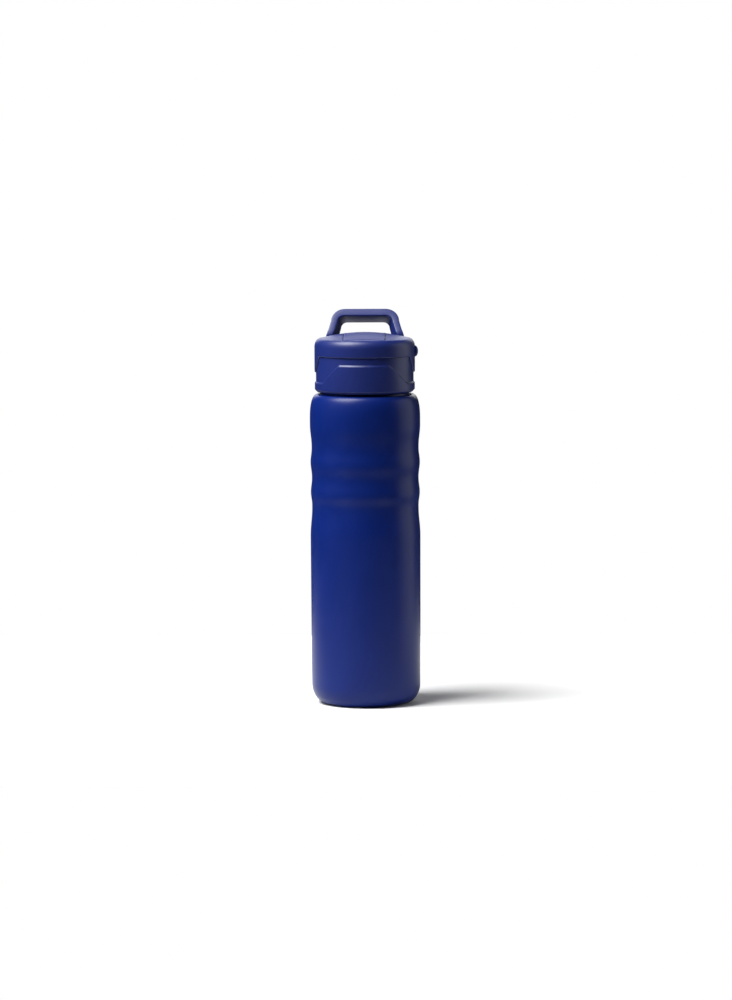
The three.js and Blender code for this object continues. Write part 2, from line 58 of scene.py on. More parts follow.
def box_mm(node):
    """A CAD node's lowest and highest corners in millimetres."""
    low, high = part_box(node)
    return low / MM, high / MM


SHELL_LOW, SHELL_HIGH = box_mm("outer_shell")
LINER_LOW, LINER_HIGH = box_mm("inner_liner")
BASE_HIGH = box_mm("base_cup")[1]
DISC_LOW, DISC_HIGH = box_mm("base_disc")
COLLAR_LOW, COLLAR_HIGH = box_mm("cap_collar")
LUG_BOTTOM = box_mm("cap_top")[0].z
COVER_LOW, COVER_HIGH = box_mm("flip_cover")
BUTTON_LOW, BUTTON_HIGH = box_mm("side_button")
SPOUT_LOW, SPOUT_HIGH = box_mm("drink_spout")
SEAL_LOW, SEAL_HIGH = box_mm("spout_seal")
BUTTON_R = (BUTTON_HIGH.z - BUTTON_LOW.z) / 2
BUTTON_Z = (BUTTON_LOW.z + BUTTON_HIGH.z) / 2
SPOUT_Y = (SPOUT_LOW.y + SPOUT_HIGH.y) / 2

# ---- Shared dimensions, in millimetres and degrees; +Z is up and the front faces -Y ----
BODY_R = SHELL_HIGH.x - 0.1
FOOT_R = BODY_R - 0.35
FOOT_LIP = {"inward": 0.2, "z": 1.6}
CORNER = {"width": 9.2, "height": 13.2}
# Turning points (height, radius) of the waved grip, up to the widest part of the shoulder.
WAVES = [
    (112, BODY_R), (132, 35.35), (141, 36.2), (150.6, 35.4), (161, 36.3), (170.5, 35.5),
    (186, SHELL_HIGH.x),
]
WAVE_SHARPNESS = 1.15
WAVE_STEP = 1.6
SHOULDER = {"start": 190, "top": 206.25, "width": 5.4, "power": 2.4}
NECK = {
    "r": 26.6, "lip": 0.6, "ledge_r": 30.7, "groove_r": 30.3, "groove": 1.4, "step_r": 29.3, "step": 207.4,
}
THREAD = {"lead": 8, "starts": 2, "depth": 1.15, "turns": 1.25, "z": 209.6, "steps": 72, "runout": 8}
# The thread's rounded ridge below its crest, as (outward, up).
RIDGE = [(-0.2, -1.0), (0.35, -0.85), (0.95, -0.5)]
LINER = {"wall": 0.8, "mouth": 2.1, "neck_r": 25.3, "corner": 9, "round": 6}

PANEL_AZ = (30.5, 57.5)  # the raised panel slopes down between these azimuths off the front or back
LUG_AZ = (65, 79)  # and the parting line between these
BAND_TOP, PANEL_TOP, STEP_Z = 214.9, 227.2, 231.8
EDGE_EASE = 1.2
COLLAR = {"inner": 29.7, "belt": 32.35, "foot": 31.6, "seam": 0.15}
CROWN = {"wall_r": 33.3, "inner": 31.2, "floor": 232.4, "shoulder": 237.6, "sweep": math.radians(78)}
FACET = {"r": 29.0, "z": 243.3, "crest": 247.0, "ease_out": 0.55, "ease_down": 0.12, "inset": 0.3}
POCKET = {"gap": 0.3, "rear": 16.1, "corner": 1.9, "floor": 236}
SLOT = {"inner": 16.2, "outer": 27, "front": 10.9, "rear": 40, "floor": 233.2}
PIN_BORE = {"r": 1.8, "inner": 14.9, "outer": 27.5}
SPOUT_BORE = {"r": 7.9, "low": 230, "high": 240}
BUTTON = {"bore": (30, 36), "gap": 0.05, "seat": 31.5, "stem_r": 2}
CUT_TOP = 250  # above the crown

HINGE = {"y": 13.0, "z": 243.6, "r": 2.2, "bore": 1.3, "inner": 5, "round": 0.3}
COVER = {"edge": 0.45, "corner": 1.8, "sheet": 2.0}
COVER_RIB = {"back": 0.08, "thick": 1.4, "low": 241.4, "high": 242.6}
CATCH = {"thick": 1.6, "inset": 0.05, "half_y": 2.5, "low": 240, "high": 244.2}

PIVOT = Vector((0, 16, 238.5))
LEAN = math.radians(33)
LOOP = {
    "foot": 26.4, "foot_top": 3.3, "knee_half": 24.6, "knee": 7.6, "top_half": 22.8, "height": 23.4,
    "corner": 9.2, "bar": 5.4, "leg": 4.5, "foot_thick": 3.6, "front": 6, "rear": -4, "taper": 0.875,
    "eye": 4.6, "eye_top": 7, "edge": 0.8, "spacing": 1.2,
}


def shares(steps, first=0):
    """Evenly spaced shares of one, from first / steps up to 1."""
    return [i / steps for i in range(first, steps + 1)]


# ---- Mesh helpers ----
def rounded(corners, steps=4):
    """Points of an open outline of (a, b, radius) corners, each corner drawn as a curve of that reach."""
    points = []
    for i, (a, b, radius) in enumerate(corners):
        here = Vector((a, b))
        if radius <= 0 or i in (0, len(corners) - 1):
            points.append(here)
            continue
        back = Vector(corners[i - 1][:2]) - here
        on = Vector(corners[i + 1][:2]) - here
        turn = math.pi - back.angle(on)
        reach = min(radius * math.tan(turn / 2), 0.49 * back.length, 0.49 * on.length)
        start = here + back.normalized() * reach
        end = here + on.normalized() * reach
        for t in shares(steps):
            points.append((1 - t) ** 2 * start + 2 * t * (1 - t) * here + t**2 * end)
    return points


def closed_outline(corners, steps=4):
    """A rounded outline that returns to its first corner."""
    return rounded([*corners, corners[0]], steps)


def link(name, mesh):
    """An object in the scene from a bmesh in millimetres."""
    bmesh.ops.recalc_face_normals(mesh, faces=mesh.faces)
    bmesh.ops.scale(mesh, vec=(MM, MM, MM), verts=mesh.verts)
    data = bpy.data.meshes.new(name)
    mesh.to_mesh(data)
    mesh.free()
    made = bpy.data.objects.new(name, data)
    bpy.context.scene.collection.objects.link(made)
    return made


def smooth(made, angle=math.radians(38)):
    """Smooth shading that breaks at real edges."""
    for polygon in made.data.polygons:
        polygon.use_smooth = True
    made.data.set_sharp_from_angle(angle=angle)


def piece(name, mesh, body, material, replaced=()):
    """A finished object that rides on a body."""
    made = link(name, mesh)
    made.data.materials.append(material)
    smooth(made)
    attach(made, body)
    if replaced:
        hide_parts(*replaced)
    return made


def loft(mesh, rings, closed=False, caps=False):
    """Quads between successive rings of points; each ring is a loop."""
    rows = [[mesh.verts.new(p) for p in points] for points in rings]
    count = len(rows[0])
    for i in range(len(rows) if closed else len(rows) - 1):
        first, second = rows[i], rows[(i + 1) % len(rows)]
        for j in range(count):
            k = (j + 1) % count
            mesh.faces.new((first[j], first[k], second[k], second[j]))
    if caps:
        mesh.faces.new(rows[0])
        mesh.faces.new(rows[-1])
    return mesh


def revolve(outline, segments=192, centre=(0, 0), mesh=None):
    """A surface of revolution about +Z of an outline of (radius, z); a radius of 0 closes on the axis."""
    mesh = mesh or bmesh.new()
    x, y = centre
    previous = None
    for radius, z in outline:
        angles = [2 * math.pi * i / segments for i in range(segments if radius > 0 else 1)]
        row = [mesh.verts.new((x + radius * math.cos(a), y + radius * math.sin(a), z)) for a in angles]
        for i in range(segments if previous else 0):
            j = (i + 1) % segments
            below = [previous[i % len(previous)], previous[j % len(previous)]]
            above = [row[j % len(row)], row[i % len(row)]]
            corners = list(dict.fromkeys(below + above))
            if len(corners) > 2:
                mesh.faces.new(corners)
        previous = row
    return mesh


def along_x(mesh, y, z):
    """Lays a piece turned about +Z along +X, its axis through (y, z)."""
    bmesh.ops.rotate(mesh, cent=(0, 0, 0), matrix=Matrix.Rotation(math.pi / 2, 3, "Y"), verts=mesh.verts)
    bmesh.ops.translate(mesh, vec=(0, y, z), verts=mesh.verts)
    return mesh


def box_mesh(low, high):
    mesh = bmesh.new()
    bmesh.ops.create_cube(mesh, size=1)
    place = Matrix.Translation((Vector(low) + Vector(high)) / 2)
    size = Vector(high) - Vector(low)
    bmesh.ops.transform(mesh, matrix=place @ Matrix.Diagonal((*size, 1)), verts=mesh.verts)
    return mesh


def rod_mesh(radius, x0, x1, y, z, segments=48):
    return along_x(revolve([(0, x0), (radius, x0), (radius, x1), (0, x1)], segments), y, z)


def subtract(target, meshes):
    """Cuts the meshes out of a finished piece."""
    tools = [link(f"cut_{i}", mesh) for i, mesh in enumerate(meshes)]
    for tool in tools:
        modifier = target.modifiers.new("cut", "BOOLEAN")
        modifier.operation = "DIFFERENCE"
        modifier.solver = "MANIFOLD"
        modifier.object = tool
    graph = bpy.context.evaluated_depsgraph_get()
    data = bpy.data.meshes.new_from_object(target.evaluated_get(graph))
    target.modifiers.clear()
    target.data = data
    for tool in tools:
        bpy.data.objects.remove(tool)
    smooth(target)


# ---- Materials ----
def shader(name, roughness, metallic=0.0):
    material = bpy.data.materials.new(name)
    material.use_nodes = True
    tree = material.node_tree
    principled = tree.nodes["Principled BSDF"]
    principled.inputs["Roughness"].default_value = roughness
    principled.inputs["Metallic"].default_value = metallic
    return material, tree, principled


def noise(tree, scale, detail=3.0, stretch=(1, 1, 1)):
    """Noise over the object's own coordinates, in metres; `stretch` scales each axis."""
    place = tree.nodes.new("ShaderNodeTexCoord")
    mapping = tree.nodes.new("ShaderNodeMapping")
    mapping.inputs["Scale"].default_value = stretch
    texture = tree.nodes.new("ShaderNodeTexNoise")
    texture.inputs["Scale"].default_value = scale
    texture.inputs["Detail"].default_value = detail
    tree.links.new(place.outputs["Object"], mapping.inputs["Vector"])
    tree.links.new(mapping.outputs["Vector"], texture.inputs["Vector"])
    return texture.outputs["Fac"]


NOISE_LOW, NOISE_HIGH = 0.3, 0.7  # nearly all of a noise lies between these


def spread(tree, value, low, high):
    """The noise remapped to run from low to high."""
    remap = tree.nodes.new("ShaderNodeMapRange")
    remap.inputs["From Min"].default_value = NOISE_LOW
    remap.inputs["From Max"].default_value = NOISE_HIGH
    remap.inputs["To Min"].default_value = low
    remap.inputs["To Max"].default_value = high
    tree.links.new(value, remap.inputs["Value"])
    return remap.outputs["Result"]


def tint(tree, value, dark, light):
    """The noise as a colour between two tones."""
    ramp = tree.nodes.new("ShaderNodeValToRGB")
    for stop, position, colour in zip(ramp.color_ramp.elements, (NOISE_LOW, NOISE_HIGH), (dark, light)):
        stop.position = position
        stop.color = (*colour, 1)
    tree.links.new(value, ramp.inputs["Fac"])
    return ramp.outputs["Color"]


def bump(tree, principled, height, strength, distance):
    node = tree.nodes.new("ShaderNodeBump")
    node.inputs["Strength"].default_value = strength
    node.inputs["Distance"].default_value = distance
    tree.links.new(height, node.inputs["Height"])
    tree.links.new(node.outputs["Normal"], principled.inputs["Normal"])


def powder_coat():
    """Satin powder coat: a fine orange peel, faint mottling in tone and gloss."""
    material, tree, principled = shader("powder_coat_blue", 0.42)
    peel = noise(tree, 1400, 2)
    cloud = noise(tree, 45, 3)
    colour = tint(tree, cloud, (0.0018, 0.0108, 0.104), (0.0022, 0.0122, 0.116))
    tree.links.new(colour, principled.inputs["Base Color"])
    tree.links.new(spread(tree, cloud, 0.32, 0.36), principled.inputs["Roughness"])
    principled.inputs["Specular IOR Level"].default_value = 0.18
    bump(tree, principled, peel, 0.12, 0.00005)
    return material


def lid_plastic():
    """Moulded polypropylene with a fine spark-eroded grain."""
    material, tree, principled = shader("lid_plastic_blue", 0.5)
    grain = noise(tree, 2600, 2)
    cloud = noise(tree, 60, 2)
    colour = tint(tree, cloud, (0.0064, 0.0142, 0.104), (0.0072, 0.016, 0.114))
    tree.links.new(colour, principled.inputs["Base Color"])
    tree.links.new(spread(tree, grain, 0.38, 0.43), principled.inputs["Roughness"])
    principled.inputs["Specular IOR Level"].default_value = 0.36
    bump(tree, principled, grain, 0.18, 0.00004)
    return material


def turned_steel():
    """Turned steel: fine lines round the axis."""
    material, tree, principled = shader("turned_steel", 0.3, 1.0)
    lines = noise(tree, 120, 4, (1, 1, 40))
    colour = tint(tree, lines, (0.5, 0.51, 0.53), (0.62, 0.63, 0.65))
    tree.links.new(colour, principled.inputs["Base Color"])
    tree.links.new(spread(tree, lines, 0.24, 0.38), principled.inputs["Roughness"])
    bump(tree, principled, lines, 0.1, 0.00004)
    return material


def moulded(name, dark, light, roughness, grain_scale=1800, strength=0.15, specular=0.5):
    """A plain moulded material: two close tones, a fine grain, and a roughness that follows it."""
    material, tree, principled = shader(name, roughness)
    grain = noise(tree, grain_scale, 2)
    tree.links.new(tint(tree, grain, dark, light), principled.inputs["Base Color"])
    tree.links.new(spread(tree, grain, roughness - 0.04, roughness + 0.04), principled.inputs["Roughness"])
    principled.inputs["Specular IOR Level"].default_value = specular
    bump(tree, principled, grain, strength, 0.00005)
    return material


POWDER = powder_coat()
LID = lid_plastic()
STEEL = turned_steel()
NAVY = moulded("navy_plastic", (0.002, 0.01, 0.085), (0.003, 0.012, 0.1), 0.42, specular=0.08)
GREY = moulded("spout_plastic", (0.3, 0.33, 0.38), (0.34, 0.37, 0.42), 0.38)
SILICONE = moulded("silicone_grey", (0.1, 0.12, 0.16), (0.12, 0.14, 0.185), 0.6)
FOAM = moulded("foam_white", (0.62, 0.61, 0.56), (0.78, 0.77, 0.73), 0.85, 700, 0.5)


# ---- Bottle ----
def wave_radius(z):
    """Outer radius up the grip: a cosine between turning points, its valleys wider than its ridges."""
    for (z0, r0), (z1, r1) in zip(WAVES, WAVES[1:]):
        if z <= z1:
            t = 0.5 - 0.5 * math.cos(math.pi * (z - z0) / (z1 - z0))
            t = t**WAVE_SHARPNESS if r1 > r0 else 1 - (1 - t) ** WAVE_SHARPNESS
            return r0 + (r1 - r0) * t
    return WAVES[-1][1]


def wall_outline():
    """The foot's rounded corner, the straight part, the waves and the superellipse of the shoulder."""
    foot, low = SHELL_LOW.z, WAVES[0][0]
    width, height = CORNER["width"], CORNER["height"]
    corner_top = foot + height
    points = []
    for share in shares(14):
        a = share * math.pi / 2
        points.append((FOOT_R - width * (1 - math.sin(a)), foot + height * (1 - math.cos(a))))
    for share in shares(9)[1:-1]:
        z = corner_top + (low - corner_top) * share
        points.append((FOOT_R + (BODY_R - FOOT_R) * z / low, z))
    grip = SHOULDER["start"] - low
    for share in shares(int(grip / WAVE_STEP)):
        z = low + grip * share
        points.append((wave_radius(z), z))
    power = SHOULDER["power"]
    rise = SHOULDER["top"] - SHOULDER["start"]
    for share in shares(24, first=1):
        up = math.sin(share * math.pi / 2)
        inward = SHOULDER["width"] * (1 - (1 - up**power) ** (1 / power))
        points.append((SHELL_HIGH.x - inward, SHOULDER["start"] + rise * up))
    return points


def thread_ridges(mesh, radius):
    """Rolled ridges that rise out of the neck and sink back into it at their ends."""
    section = [*RIDGE, (THREAD["depth"], 0), *[(out, -up) for out, up in reversed(RIDGE)]]
    count = int(THREAD["steps"] * THREAD["turns"])
    for start in range(THREAD["starts"]):
        rings = []
        for i in range(count + 1):
            a = 2 * math.pi * (i / THREAD["steps"] + start / THREAD["starts"])
            fade = min(1, THREAD["runout"] * i / count, THREAD["runout"] * (count - i) / count)
            z = THREAD["z"] + THREAD["lead"] * i / THREAD["steps"]
            reach = [(radius + out * fade, z + up) for out, up in section]
            rings.append([(r * math.cos(a), r * math.sin(a), height) for r, height in reach])
        loft(mesh, rings, caps=True)


def bottle():
    top = SHOULDER["top"]
    groove = top - NECK["groove"]
    lip = SHELL_HIGH.z
    neck = rounded([
        (SHELL_HIGH.x - SHOULDER["width"], top, 0), (NECK["ledge_r"], top - 0.1, 0.4),
        (NECK["groove_r"], groove, 0.5), (NECK["step_r"] + 0.1, groove, 0.2),
        (NECK["step_r"], NECK["step"], 0.5), (NECK["r"], NECK["step"], 0.3),
        (NECK["r"], lip, 0.2), (NECK["r"] - NECK["lip"], lip, 0),
    ])
    foot_lip = (FOOT_R - CORNER["width"] - FOOT_LIP["inward"], FOOT_LIP["z"])
    mesh = revolve([foot_lip, *wall_outline(), *neck])
    thread_ridges(mesh, NECK["r"])
    piece("bottle_wall", mesh, "bottle", POWDER, ["outer_shell"])


def liner():
    """The inner flask: its bore and rolled lip, then its outside."""
    r, low, high = LINER_HIGH.x, LINER_LOW.z, LINER_HIGH.z
    wall, corner, neck_r = LINER["wall"], LINER["corner"], LINER["neck_r"]
    mouth = NECK["r"] - LINER["mouth"]
    bore = rounded([
        (0, low + wall, 0), (r - wall, low + wall, corner - wall), (r - wall, 192, LINER["round"]),
        (mouth + 2.2, 202.5, 4), (mouth, 206, 3), (mouth, high - 0.2, 0.5), (mouth + 0.6, high, 0.5),
        (NECK["r"] - 0.2, high, 0.45), (NECK["r"], high - 0.9, 0.1), (NECK["r"] - 0.5, high - 1, 0),
    ], 8)
    outside = rounded([
        (0, low, 0), (r, low, corner), (r, 192.9, LINER["round"]), (28.3, 202.75, 3), (neck_r, 204.75, 0),
        (neck_r, high - 1, 0),
    ], 8)
    mesh = revolve(outside, mesh=revolve(bore))
    piece("liner", mesh, "bottle", STEEL, ["inner_liner"])


def base():
    """The pressed cup in the foot with its standing ring, and the plate in the recess within that ring."""
    r, top = BASE_HIGH.x, BASE_HIGH.z
    cup = closed_outline([
        (2, 3, 0), (20.9, 3, 0.5), (21.8, 0, 0.5), (25.6, 0, 0.6), (r, 0.9, 0.4), (r, top - 0.6, 0),
        (r - 1, top - 0.6, 0), (r - 1, 1.4, 0.3), (22.6, 1.4, 0.3), (21.6, top, 0.4), (2, top, 0),
    ])
    piece("base_cup_detail", revolve(cup), "bottle", POWDER, ["base_cup"])
    r, low, top = DISC_HIGH.x, DISC_LOW.z, DISC_HIGH.z
    disc = rounded([
        (0, low + 0.15, 0), (6, low + 0.15, 0.3), (6.4, low, 0.3), (r - 2.6, low, 0.3),
        (r - 2.2, low + 0.2, 0.3), (r - 1.2, low + 0.2, 0.3), (r - 0.9, low, 0.2),
        (r, low + 0.1, 0.4), (r, top, 0.2), (0, top, 0),
    ])
    piece("base_disc_detail", revolve(disc), "bottle", STEEL, ["base_disc"])


# ---- Lid ----
def edge_height(azimuth, span, near, far):
    """An edge level at `near` round front and back and at `far` round the sides, with eased turns."""
    folded = azimuth % 180
    off = min(folded, 180 - folded)
    total = 0
    samples = shares(6)
    for share in samples:
        at = off + EDGE_EASE * (2 * share - 1)
        along = min(max((at - span[0]) / (span[1] - span[0]), 0), 1)
        total += near + (far - near) * along
    return total / len(samples)


def parting_height(azimuth):
    """The line between the collar and the crown: high front and back, low under the side lugs."""
    return edge_height(azimuth, LUG_AZ, STEP_Z, LUG_BOTTOM)


def ring(section, stations=360):
    """A closed ring about +Z whose cross-section of (radius, z) changes with the azimuth off the front."""
    rings = []
    for i in range(stations):
        azimuth = 360 * i / stations
        a = math.radians(azimuth)
        rings.append([(r * math.sin(a), -r * math.cos(a), z) for r, z in section(azimuth)])
    return loft(bmesh.new(), rings, closed=True)


def collar_section(azimuth):
    inner, belt, band, bottom = COLLAR["inner"], COLLAR["belt"], COLLAR_HIGH.y, COLLAR_LOW.z
    panel = edge_height(azimuth, PANEL_AZ, PANEL_TOP, BAND_TOP)
    top = parting_height(azimuth) - COLLAR["seam"]
    return closed_outline([
        (inner, bottom + 0.3, 0), (inner + 0.3, bottom, 0), (COLLAR["foot"], bottom, 0.4),
        (band, bottom + 1.7, 0.7), (band, panel - 1.1, 0.45), (belt, panel, 0.35), (belt, top, 0.2),
        (inner, top, 0),
    ], 5)


def collar():
    piece("collar_ring", ring(collar_section), "lid", LID, ["cap_collar"])


def dome_z(x, y):
    """Height of the lid's shallow dome."""
    return FACET["crest"] - (FACET["crest"] - FACET["z"]) * (x * x + y * y) / FACET["r"] ** 2


def crown_section(azimuth):
    """Eased lower edge, wall, elliptical shoulder, dome and the flat underside."""
    wall_r, inner, sweep = CROWN["wall_r"], CROWN["inner"], CROWN["sweep"]
    facet_r, facet_z = FACET["r"], FACET["z"]
    edge = parting_height(azimuth)
    points = rounded([(inner, edge + 0.1, 0), (wall_r - 0.05, edge, 0.7), (wall_r, edge + 3, 0)], 5)
    rise = (facet_z - CROWN["shoulder"]) / math.sin(sweep)
    for share in shares(12)[:-1]:
        a = sweep * share
        points.append((facet_r + (wall_r - facet_r) * math.cos(a), CROWN["shoulder"] + rise * math.sin(a)))
    points.append((facet_r + FACET["ease_out"], facet_z - FACET["ease_down"]))
    axis = 0.05  # the section stops just short of the axis
    for share in shares(12):
        r = max(facet_r * (1 - share) - FACET["inset"], axis)
        points.append((r, dome_z(r, 0)))
    return points + [(axis, CROWN["floor"]), (inner - 2, CROWN["floor"]), (inner, CROWN["floor"])]


def pocket_prism():
    """The room under the flip cover: square at the rear, rounded at the two front corners."""
    half, front, radius = COVER_HIGH.x + POCKET["gap"], COVER_LOW.y - POCKET["gap"], POCKET["corner"]
    shape = [(half, POCKET["rear"]), (-half, POCKET["rear"])]
    for side, start in ((-1, math.pi), (1, 1.5 * math.pi)):
        middle_x, middle_y = side * (half - radius), front + radius
        for share in shares(8):
            a = start + math.pi / 2 * share
            shape.append((middle_x + radius * math.cos(a), middle_y + radius * math.sin(a)))
    return loft(bmesh.new(), [[(x, y, z) for x, y in shape] for z in (POCKET["floor"], CUT_TOP)], caps=True)


def mirrored_span(side, inner, outer):
    """The lower and upper x of a span on one side of the lid."""
    return sorted((side * inner, side * outer))


def crown():
    """The upper shell, with its pocket, button hole, spout hole, and a slot and a pin bore for each leg."""
    made = piece("lid_crown", ring(crown_section), "lid", LID, ["cap_top"])
    r, low, high = SPOUT_BORE["r"], SPOUT_BORE["low"], SPOUT_BORE["high"]
    cuts = [
        pocket_prism(),
        rod_mesh(BUTTON_R + BUTTON["gap"], *BUTTON["bore"], 0, BUTTON_Z),
        revolve([(0, low), (r, low), (r, high), (0, high)], 64, (0, SPOUT_Y)),
    ]
    for side in (-1, 1):
        x0, x1 = mirrored_span(side, SLOT["inner"], SLOT["outer"])
        cuts.append(box_mesh((x0, SLOT["front"], SLOT["floor"]), (x1, SLOT["rear"], CUT_TOP)))
    for side in (-1, 1):
        x0, x1 = mirrored_span(side, PIN_BORE["inner"], PIN_BORE["outer"])
        cuts.append(rod_mesh(PIN_BORE["r"], x0, x1, PIVOT.y, PIVOT.z))
    subtract(made, cuts)


# ---- Flip cover ----
def rounded_back(radius, depth):
    """How far an edge rounded to a radius falls back at a depth from its tip."""
    short = max(radius - depth, 0)
    return radius - math.sqrt(radius**2 - short**2)


def cover_section(y, half, drop):
    """Across the panel: its top along the dome with two eased edges, and its underside parallel to it."""
    edge, sheet = COVER["edge"], COVER["sheet"]
    flat = half - edge
    eased = []
    for share in shares(4, first=1):
        a = math.pi / 2 * share
        x = flat + edge * math.sin(a)
        eased.append((x, y, dome_z(x, y) - edge * (1 - math.cos(a)) - drop))
    top = [(x, y, dome_z(x, y) - drop) for x in [flat * (2 * share - 1) for share in shares(24)]]
    under = [(x, y, dome_z(x, y) - sheet) for x in [half * (1 - 2 * share) for share in shares(6)]]
    return top + eased + under + [(-x, y, z) for x, y, z in reversed(eased)]


def cover_panel():
    """The panel follows the dome; its front corners and its edges are eased."""
    half, front, rear = COVER_HIGH.x, COVER_LOW.y, HINGE["y"]
    edge, corner = COVER["edge"], COVER["corner"]
    depths = [edge * (1 - math.cos(math.pi / 2 * share)) for share in shares(5)]
    depths += [corner * (0.3 + 0.7 * share) for share in shares(6, first=1)]
    depths += [corner + (rear - front - corner) * share for share in shares(30, first=1)]
    rings = [
        cover_section(front + depth, half - rounded_back(corner, depth), rounded_back(edge, depth))
        for depth in depths
    ]
    piece("cover_panel", loft(bmesh.new(), rings, caps=True), "cover", LID, ["flip_cover"])


def cover_barrels():
    half, bore, r, ease = COVER_HIGH.x, HINGE["bore"], HINGE["r"], HINGE["round"]
    for name, x0, x1 in (("left", -half, -HINGE["inner"]), ("right", HINGE["inner"], half)):
        outline = rounded([(bore, x0, 0), (r, x0, ease), (r, x1, ease), (bore, x1, 0)])
        barrel = along_x(revolve(outline, 48), HINGE["y"], HINGE["z"])
        piece(f"cover_barrel_{name}", barrel, "cover", LID)


def cover_ribs():
    """The stiffening rib under the front edge and the catch under the right-hand edge."""
    half, front = COVER_HIGH.x, COVER_LOW.y
    rib_half = half - COVER["corner"]
    rib = box_mesh(
        (-rib_half, front + COVER_RIB["back"], COVER_RIB["low"]),
        (rib_half, front + COVER_RIB["thick"], COVER_RIB["high"]))
    piece("cover_front_rib", rib, "cover", LID)
    catch = box_mesh(
        (half - CATCH["thick"], -CATCH["half_y"], CATCH["low"]),
        (half - CATCH["inset"], CATCH["half_y"], CATCH["high"]))
    piece("cover_catch", catch, "cover", LID)


# ---- Spout, its pad and the button ----
def spout():
    """The spout's tube with its rolled lip."""
    r = (SPOUT_HIGH.x - SPOUT_LOW.x) / 2
    bore, low, high = 6, SPOUT_LOW.z, SPOUT_HIGH.z
    tube = closed_outline([
        (bore, low, 0), (r, low, 0.3), (r, high - 2.4, 0.5), (r - 0.5, high - 2, 0.5),
        (r - 0.3, high - 0.1, 0.7), (bore, high, 0.6),
    ], 6)
    piece("spout_tube", revolve(tube, 96, (0, SPOUT_Y)), "lid", GREY, ["drink_spout"])


def seal():
    """The pad under the flip cover: a plug with a hollow end, and the flange over the spout's lip."""
    flange, low, rest, top = SEAL_HIGH.x, SEAL_LOW.z, SPOUT_HIGH.z + 0.3, SEAL_HIGH.z
    pad = rounded([
        (0, low + 0.6, 0), (3.6, low + 0.6, 0.6), (4.3, low, 0.4), (5.1, low, 0.4), (5.7, rest, 0.3),
        (flange, rest, 0.4), (flange, top, 0.4), (0, top, 0),
    ], 5)
    piece("seal_pad", revolve(pad, 96, (0, SPOUT_Y)), "cover", SILICONE, ["spout_seal"])


def button():
    """The button's domed head on its stem, turned about +X."""
    r = BUTTON_R
    tip, seat, stem_r, stem_end = BUTTON_HIGH.x, BUTTON["seat"], BUTTON["stem_r"], BUTTON_LOW.x
    outline = rounded([
        (0, tip, 0), (r * 0.35, tip - 0.12, 2), (r * 0.8, tip - 0.75, 2), (r, tip - 1.8, 1.2),
        (r, seat, 0.3), (stem_r, seat, 0.2), (stem_r, stem_end, 0.2), (0, stem_end, 0),
    ], 6)
    mesh = along_x(revolve(outline, 64), 0, BUTTON_Z)
    piece("push_button", mesh, "button", NAVY, ["side_button"])


# ---- Carry loop ----
def loop_path():
    """Half of the loop's outer edge as (half-width, height over the pivot), from its eye to mid-bar."""
    height, corner, top_half = LOOP["height"], LOOP["corner"], LOOP["top_half"]
    bend = height - corner
    outline = rounded([
        (LOOP["foot"], -LOOP["eye"], 0), (LOOP["foot"], LOOP["foot_top"], 4),
        (LOOP["knee_half"], LOOP["knee"], 8), (top_half, bend, 0),
    ], 6)
    for share in shares(12, first=1):
        a = math.pi / 2 * share
        outline.append(Vector((top_half - corner * (1 - math.cos(a)), bend + corner * math.sin(a))))
    outline.append(Vector((0, height)))
    dense = []
    for start, end in zip(outline, outline[1:]):
        parts = max(1, int((end - start).length / LOOP["spacing"]))
        dense += [start.lerp(end, i / parts) for i in range(parts)]
    return dense + [outline[-1]]


def ease(share):
    """A smooth step from 0 to 1."""
    share = min(max(share, 0), 1)
    return share * share * (3 - 2 * share)


def strap_size(u):
    """Thickness, front edge and rear edge of the strap at a height over the pivot: round eye, leg, bar."""
    risen = ease(u / LOOP["eye_top"])
    bend = min(max((u - LOOP["height"] + LOOP["corner"]) / LOOP["corner"], 0), 1)
    thickness = LOOP["foot_thick"] + (LOOP["leg"] - LOOP["foot_thick"]) * risen
    thickness += (LOOP["bar"] - LOOP["leg"]) * bend
    least = 0.12  # keeps the end of the eye from closing to a line
    half_eye = LOOP["eye"] if u >= 0 else math.sqrt(max(LOOP["eye"] ** 2 - u * u, least))
    front = half_eye + (LOOP["front"] - half_eye) * risen
    rear = -half_eye + (LOOP["rear"] + half_eye) * risen
    return thickness, front, rear


def strap_section(at, normal):
    """Rounded rectangle across the strap: `normal` points outward in the loop's plane."""
    thickness, front, rear = strap_size(at.y)
    edge = LOOP["edge"]
    corners = closed_outline([
        (0, 0, 0), (0, front, edge), (-thickness, front, edge), (-thickness, rear, edge), (0, rear, edge),
    ], 4)
    points = []
    for inward, along in corners[:-1]:
        p = at + normal * inward
        share = (along - LOOP["rear"]) / (LOOP["front"] - LOOP["rear"])
        points.append((p.x * (LOOP["taper"] + (1 - LOOP["taper"]) * share), p.y, along))
    return points


def carry_loop():
    half = loop_path()
    full = half + [Vector((-p.x, p.y)) for p in reversed(half[:-1])]
    up = Vector((0, math.sin(LEAN), math.cos(LEAN)))
    forward = Vector((0, -math.cos(LEAN), math.sin(LEAN)))
    rings = []
    for i, at in enumerate(full):
        before, after = full[max(i - 1, 0)], full[min(i + 1, len(full) - 1)]
        along = (after - before).normalized()
        section = strap_section(at, Vector((along.y, -along.x)))
        rings.append([PIVOT + Vector((x, 0, 0)) + up * u + forward * n for x, u, n in section])
    piece("loop_strap", loft(bmesh.new(), rings, caps=True), "loop", LID, ["carry_handle"])


